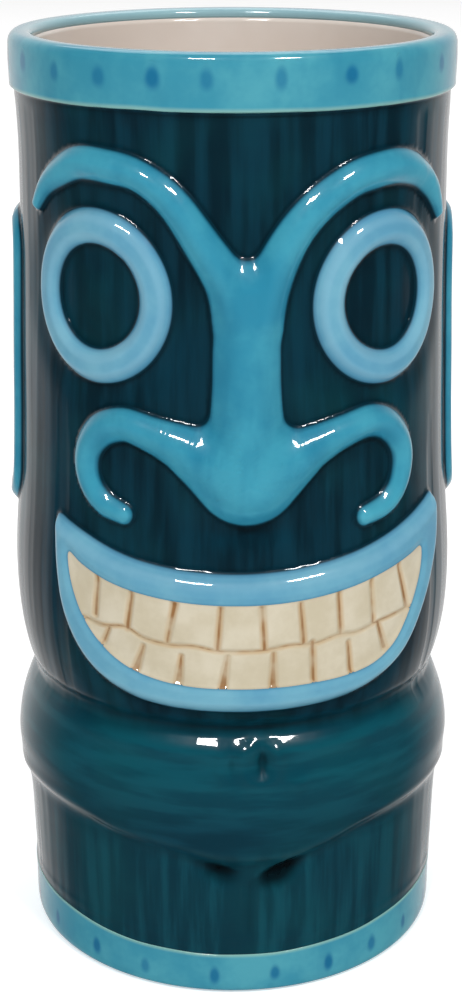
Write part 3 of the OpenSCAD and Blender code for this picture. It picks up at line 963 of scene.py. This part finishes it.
class Shader:
    """A small helper that adds nodes to a material and joins them."""

    def __init__(self, name):
        self.material = bpy.data.materials.new(name)
        self.material.use_nodes = True
        self.nodes, self.links = self.material.node_tree.nodes, self.material.node_tree.links
        self.nodes.clear()
        self.surface = self.nodes.new("ShaderNodeBsdfPrincipled")
        self.links.new(self.surface.outputs[0], self.nodes.new("ShaderNodeOutputMaterial").inputs[0])
        self.place = self.nodes.new("ShaderNodeTexCoord").outputs["Object"]

    def feed(self, source, socket):
        """Gives a socket a fixed value, or the output of another node."""
        if isinstance(source, (tuple, float)):
            socket.default_value = source
        else:
            self.links.new(source, socket)

    def value(self, name):
        node = self.nodes.new("ShaderNodeAttribute")
        node.attribute_name = name
        return node.outputs["Fac"]

    def stretched(self, scale):
        node = self.nodes.new("ShaderNodeMapping")
        node.inputs["Scale"].default_value = scale
        self.links.new(self.place, node.inputs["Vector"])
        return node.outputs[0]

    def noise(self, scale, detail=3.0, vector=None, rough=0.5):
        node = self.nodes.new("ShaderNodeTexNoise")
        set_inputs(node, {"Scale": scale, "Detail": detail, "Roughness": rough})
        self.links.new(vector or self.place, node.inputs["Vector"])
        return node.outputs["Fac"]

    def ramp(self, source, low, high, low_to=0.0, high_to=1.0):
        node = self.nodes.new("ShaderNodeMapRange")
        node.interpolation_type = "SMOOTHSTEP"
        set_inputs(node, {"From Min": low, "From Max": high, "To Min": low_to, "To Max": high_to})
        self.links.new(source, node.inputs["Value"])
        return node.outputs[0]

    def mix(self, factor, a, b):
        node = self.nodes.new("ShaderNodeMix")
        node.data_type = "RGBA"
        for source, slot in ((factor, 0), (a, 6), (b, 7)):
            self.feed(source, node.inputs[slot])
        return node.outputs[2]

    def tint(self, colour, source, low, high, share, other):
        """Mixes in another colour, by up to the given share, as the source runs from low to high."""
        if isinstance(source, str):
            source = self.value(source)
        return self.mix(self.ramp(source, low, high, 0.0, share), colour, other)

    def multiply(self, a, b):
        node = self.nodes.new("ShaderNodeMath")
        node.operation = "MULTIPLY"
        self.feed(a, node.inputs[0])
        self.feed(b, node.inputs[1])
        return node.outputs[0]

    def bump(self, height, strength, distance):
        node = self.nodes.new("ShaderNodeBump")
        set_inputs(node, {"Strength": strength, "Distance": distance})
        self.links.new(height, node.inputs["Height"])
        self.links.new(node.outputs[0], self.surface.inputs["Normal"])

    def glaze(self, colour):
        """A fired glaze: colour under a clear, glossy coat."""
        self.links.new(colour, self.surface.inputs["Base Color"])
        set_inputs(self.surface, {"Roughness": 0.32, "Specular IOR Level": 0.1, "Coat Weight": 1.0,
                                  "Coat Roughness": 0.035, "Coat IOR": 1.5})
        return self.material


def srgb(r, g, b):
    """A colour given as 0 to 255 values, made linear."""
    def linear(c):
        c /= 255
        return c / 12.92 if c <= 0.04045 else ((c + 0.055) / 1.055) ** 2.4
    return (linear(r), linear(g), linear(b), 1.0)


FOOT_COLOUR = srgb(3, 42, 56)
RELIEF_COLOURS = (srgb(46, 138, 168), srgb(66, 158, 182), srgb(34, 120, 152))
BAND_COLOURS = (srgb(59, 147, 171), srgb(81, 165, 182), srgb(50, 135, 163))


def body_material():
    """Dark teal glaze: dark in creases for pooled glaze and painted shade, painted shade on the lower belly
    and in the leg corners, a pale line on the belly's lower edge for thin glaze and a painted reflection,
    streaked up and down the wood grain and level on the belly.
    """
    m = Shader("body_glaze")
    split = m.nodes.new("ShaderNodeSeparateXYZ")
    m.links.new(m.place, split.inputs[0])
    height = split.outputs["Z"]
    streak = m.noise(1.0, 4.0, m.stretched((330.0, 330.0, 22.0)), 0.55)
    level = m.noise(1.0, 3.0, m.stretched((70.0, 70.0, 420.0)))
    upper = m.mix(m.ramp(streak, 0.36, 0.66), srgb(2, 34, 46), srgb(5, 52, 68))
    belly = m.mix(m.ramp(level, 0.38, 0.64), srgb(6, 66, 81), srgb(11, 80, 94))
    # Painted shade: the lower belly, which faces down, gets darker colours than the belly above it.
    painted_shade_low_belly = m.mix(m.ramp(level, 0.38, 0.64), srgb(4, 51, 66), srgb(8, 62, 78))
    legs = m.mix(m.ramp(streak, 0.38, 0.64), srgb(5, 52, 66), srgb(11, 72, 86))
    colour = m.mix(m.ramp(height, 0.026, 0.031), legs, painted_shade_low_belly)
    colour = m.mix(m.ramp(height, 0.032, 0.043), colour, belly)
    colour = m.mix(m.ramp(height, 0.048, 0.054), colour, upper)
    colour = m.tint(colour, m.noise(60.0), 0.4, 0.75, 0.25, srgb(10, 84, 90))
    # Darker in creases: pooled glaze, and painted shade where the creases lie in shadow.
    colour = m.tint(colour, "hollow", 0.05, 0.45, 0.6, srgb(1, 22, 31))
    # A pale line on the crest of the belly's lower edge: thin glaze there, and a painted reflection.
    thin = m.multiply(m.ramp(m.value("hollow"), -0.06, -0.35, 0.0, 0.5), m.ramp(height, 0.036, 0.033))
    colour = m.mix(thin, colour, srgb(66, 104, 106))
    # Nearly black in the leg corners: pooled glaze and painted shade.
    colour = m.tint(colour, "pooled_glaze_and_shade", 0.12, 0.75, 0.92, srgb(0, 12, 18))
    colour = m.tint(colour, height, 0.0004, 0.0002, 1.0, srgb(205, 190, 168))
    m.bump(m.noise(420.0, 2.0), 0.04, 0.0004)
    return m.glaze(colour)


def turquoise_shader(name, base, light, dark):
    """Bright turquoise with brush clouds: the shader and its colour."""
    m = Shader(name)
    brush = m.noise(1.0, 3.0, m.stretched((160.0, 160.0, 55.0)))
    colour = m.mix(m.ramp(m.noise(85.0, 4.0, None, 0.6), 0.34, 0.68), base, light)
    m.bump(m.noise(500.0, 2.0), 0.03, 0.0003)
    return m, m.tint(colour, brush, 0.5, 0.75, 0.5, dark)


def relief_material():
    m, colour = turquoise_shader("turquoise_relief", *RELIEF_COLOURS)
    # Darker in hollows: pooled glaze and painted shade.
    colour = m.tint(colour, "hollow", 0.02, 0.3, 0.7, srgb(20, 92, 122))
    colour = m.tint(colour, "hollow", -0.1, -0.45, 0.45, srgb(92, 182, 202))
    # Darker near the foot of its outline: pooled glaze and painted shade.
    colour = m.tint(colour, "edge", 0.5, 0.0, 0.35, srgb(22, 96, 122))
    return m.glaze(m.tint(colour, "edge", 0.1, -0.25, 1.0, FOOT_COLOUR))


def band_shader(name):
    """The bands' turquoise, thin and pale along its painted edge."""
    m, colour = turquoise_shader(name, *BAND_COLOURS)
    return m, m.tint(colour, "edge", 0.9, 0.1, 0.75, srgb(150, 196, 184))


def base_material():
    m, colour = band_shader("turquoise_band")
    return m.glaze(colour)


def rim_material():
    m, colour = band_shader("turquoise_rim")
    return m.glaze(m.tint(colour, "lip", 2.2, 0.0, 0.7, srgb(176, 208, 214)))


def spot_material():
    m, band = turquoise_shader("spot_glaze", *BAND_COLOURS)
    fade = m.multiply(m.ramp(m.value("fade"), 0.02, 0.7), m.value("strength"))
    return m.glaze(m.mix(fade, band, srgb(22, 110, 152)))


def pale_blue_material():
    m = Shader("pale_blue_glaze")
    colour = m.mix(m.ramp(m.noise(70.0, 4.0, None, 0.6), 0.34, 0.68), srgb(95, 160, 190), srgb(117, 178, 200))
    colour = m.tint(colour, "hollow", -0.05, -0.3, 0.35, srgb(144, 192, 212))
    # Darker near the foot of its outline: pooled glaze and painted shade.
    colour = m.tint(colour, "edge", 0.5, 0.0, 0.55, srgb(60, 122, 158))
    colour = m.tint(colour, "edge", 0.1, -0.25, 1.0, FOOT_COLOUR)
    m.bump(m.noise(500.0, 2.0), 0.03, 0.0003)
    return m.glaze(colour)


def tooth_material():
    """Cream teeth. The painted brown bleeds a little way from each line; along the bite the brown is painted
    shade.
    """
    m = Shader("tooth_glaze")
    cream = m.mix(m.ramp(m.noise(120.0, 4.0, None, 0.6), 0.34, 0.7), srgb(204, 193, 167), srgb(217, 208, 186))
    strength = m.ramp(m.noise(240.0, 2.0), 0.3, 0.62, 0.35, 1.0)
    bleed = m.multiply(m.ramp(m.value("line"), 0.55, 0.0, 0.0, 0.6), strength)
    core = m.multiply(m.ramp(m.value("line"), 0.05, -0.28, 0.0, 0.95), strength)
    colour = m.mix(core, m.mix(bleed, cream, srgb(196, 160, 112)), srgb(150, 106, 62))
    # Painted shade: the teeth darken towards the lips' inner edge.
    return m.glaze(m.tint(colour, "edge", 0.4, 0.0, 0.25, srgb(170, 150, 120)))


def interior_material():
    m = Shader("interior_cream")
    colour = m.mix(m.ramp(m.noise(45.0), 0.35, 0.7), srgb(236, 224, 214), srgb(244, 235, 227))
    m.bump(m.noise(160.0, 2.0), 0.05, 0.0006)
    return m.glaze(colour)


def dress(pieces):
    """Gives every piece its material, tells the frame what it rides on, and hides the CAD node that it
    replaces.
    """
    pale = (pale_blue_material(), "pale_blue_glaze")
    spots = (spot_material(), "spot_glaze")
    teeth = tooth_material()
    turquoise = (relief_material(), "turquoise_glaze")
    looks = {
        "cast_body": (body_material(), "body_glaze"),
        "interior_glaze_skin": (interior_material(), "interior_glaze"),
        "rim_glaze_band": (rim_material(), "turquoise_glaze"),
        "base_glaze_band": (base_material(), "turquoise_glaze"),
        "rim_glaze_dabs": spots,
        "base_glaze_dabs": spots,
        "eye_ring_relief_left": pale,
        "eye_ring_relief_right": pale,
        "lip_relief": pale,
        "upper_tooth_row": (teeth, "tooth_glaze"),
        "lower_tooth_row": (teeth, "tooth_glaze"),
        "tooth_stain_and_bite_shade": (teeth, "line_stain"),
    }
    for name, (piece, node) in pieces.items():
        material, slot = looks.get(name, turquoise)
        piece.data.materials.clear()
        piece.data.materials.append(material)
        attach(piece, "root")
        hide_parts(node)


# ---------------------------------------------------------------- floor, light and camera

CAMERA_TURN = 3.5           # how far the face is turned from the camera, in degrees
CAMERA_DISTANCE = 0.3315    # from the mug's axis, level
CAMERA_HEIGHT = 0.1988
CAMERA_PITCH = 19.67
CAMERA_LENS = 69.05
CAMERA_SHIFT = -0.00145
FLOOR_HALF = 4.0
LIGHT_TARGET = Vector((0, 0, 0.09))


def floor_material():
    m = Shader("pale_floor")
    grey = (0.8, 0.8, 0.8, 1.0)
    set_inputs(m.surface, {"Base Color": grey, "Roughness": 0.8, "Specular IOR Level": 0.0,
                           "Emission Color": grey, "Emission Strength": 0.6})
    return m.material


def make_floor():
    corners = [(-1, -1), (1, -1), (1, 1), (-1, 1)]
    mesh = bpy.data.meshes.new("floor")
    mesh.from_pydata([(x * FLOOR_HALF, y * FLOOR_HALF, 0) for x, y in corners], [], [(0, 1, 2, 3)])
    floor = bpy.data.objects.new("floor", mesh)
    bpy.context.scene.collection.objects.link(floor)
    mesh.materials.append(floor_material())
    floor.visible_glossy = False


def area_light(name, azimuth, elevation, distance, size, energy):
    """A soft light that faces the mug. Azimuth 0 is in front of the face, positive to the right."""
    data = bpy.data.lights.new(name, "AREA")
    data.shape = "RECTANGLE"
    data.size, data.size_y = size
    data.energy = energy
    lamp = bpy.data.objects.new(name, data)
    az, el = math.radians(azimuth), math.radians(elevation)
    away = Vector((math.cos(el) * math.sin(az), -math.cos(el) * math.cos(az), math.sin(el)))
    lamp.location = LIGHT_TARGET + distance * away
    lamp.rotation_euler = (-away).to_track_quat("-Z", "Y").to_euler()
    bpy.context.scene.collection.objects.link(lamp)


def make_world():
    """A pale room behind the mug and a dim one in front of it, where the camera stands."""
    world = bpy.data.worlds.new("room")
    bpy.context.scene.world = world
    world.use_nodes = True
    nodes, links = world.node_tree.nodes, world.node_tree.links
    nodes.clear()
    output = nodes.new("ShaderNodeOutputWorld")
    back = nodes.new("ShaderNodeBackground")
    where = nodes.new("ShaderNodeTexCoord")
    split = nodes.new("ShaderNodeSeparateXYZ")
    ramp = nodes.new("ShaderNodeMapRange")
    ramp.interpolation_type = "SMOOTHSTEP"
    set_inputs(ramp, {"From Min": 0.1, "From Max": 0.95, "To Min": 0.02, "To Max": 0.72})
    links.new(where.outputs["Generated"], split.inputs[0])
    links.new(split.outputs["Y"], ramp.inputs["Value"])
    path = nodes.new("ShaderNodeLightPath")
    seen = nodes.new("ShaderNodeMix")
    links.new(path.outputs["Is Camera Ray"], seen.inputs[0])
    links.new(ramp.outputs[0], seen.inputs[2])
    seen.inputs[3].default_value = 1.0
    links.new(seen.outputs[0], back.inputs["Strength"])
    back.inputs["Color"].default_value = (1, 1, 1, 1)
    links.new(back.outputs[0], output.inputs[0])


def make_stage():
    make_floor()
    make_world()
    area_light("left_strip", -23.0, 52.0, 2.6, (0.5, 0.24), 28)
    area_light("right_strip", 33.0, 52.0, 2.6, (0.46, 0.24), 28)
    area_light("back_soft", 180.0, 60.0, 2.4, (2.4, 1.6), 22)
    view = bpy.context.scene.view_settings
    view.view_transform = "Standard"
    view.look = "None"


def make_camera():
    turn = math.radians(CAMERA_TURN)
    data = bpy.data.cameras.new("camera")
    data.lens = CAMERA_LENS
    data.sensor_width = 36.0
    data.sensor_fit = "AUTO"
    data.clip_start = 0.01
    data.shift_x = CAMERA_SHIFT
    camera = bpy.data.objects.new("camera", data)
    camera.location = (-CAMERA_DISTANCE * math.sin(turn), -CAMERA_DISTANCE * math.cos(turn), CAMERA_HEIGHT)
    camera.rotation_euler = (math.radians(90 - CAMERA_PITCH), 0, -turn)
    bpy.context.scene.collection.objects.link(camera)
    bpy.context.scene.camera = camera


make_camera()
make_stage()
dress(make_pieces())
